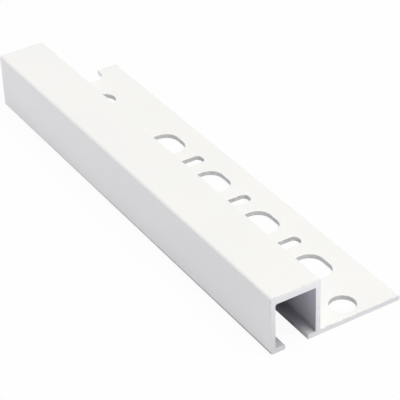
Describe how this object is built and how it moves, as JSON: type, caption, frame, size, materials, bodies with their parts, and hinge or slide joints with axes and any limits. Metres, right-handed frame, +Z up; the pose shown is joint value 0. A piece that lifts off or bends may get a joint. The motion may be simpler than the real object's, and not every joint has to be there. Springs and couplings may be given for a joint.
{
  "type": "tile edge trim",
  "caption": "Short length of white square-edge tile trim: a box-section bead that covers a tile's exposed edge, with a punched anchoring leg that is bedded under the tile.",
  "frame": {"origin": "under the middle of the base's width and length, on the plane that the trim lies on", "axes": "+X across the section from the visible front wall to the edge of the leg, +Y along the length, +Z up from the base to the visible top"},
  "size_m": [0.023, 0.0856, 0.01],
  "materials": {
    "white_coat": "satin"
  },
  "bodies": {
    "root": {"trim_profile": "white_coat"}
  },
  "joints": []
}
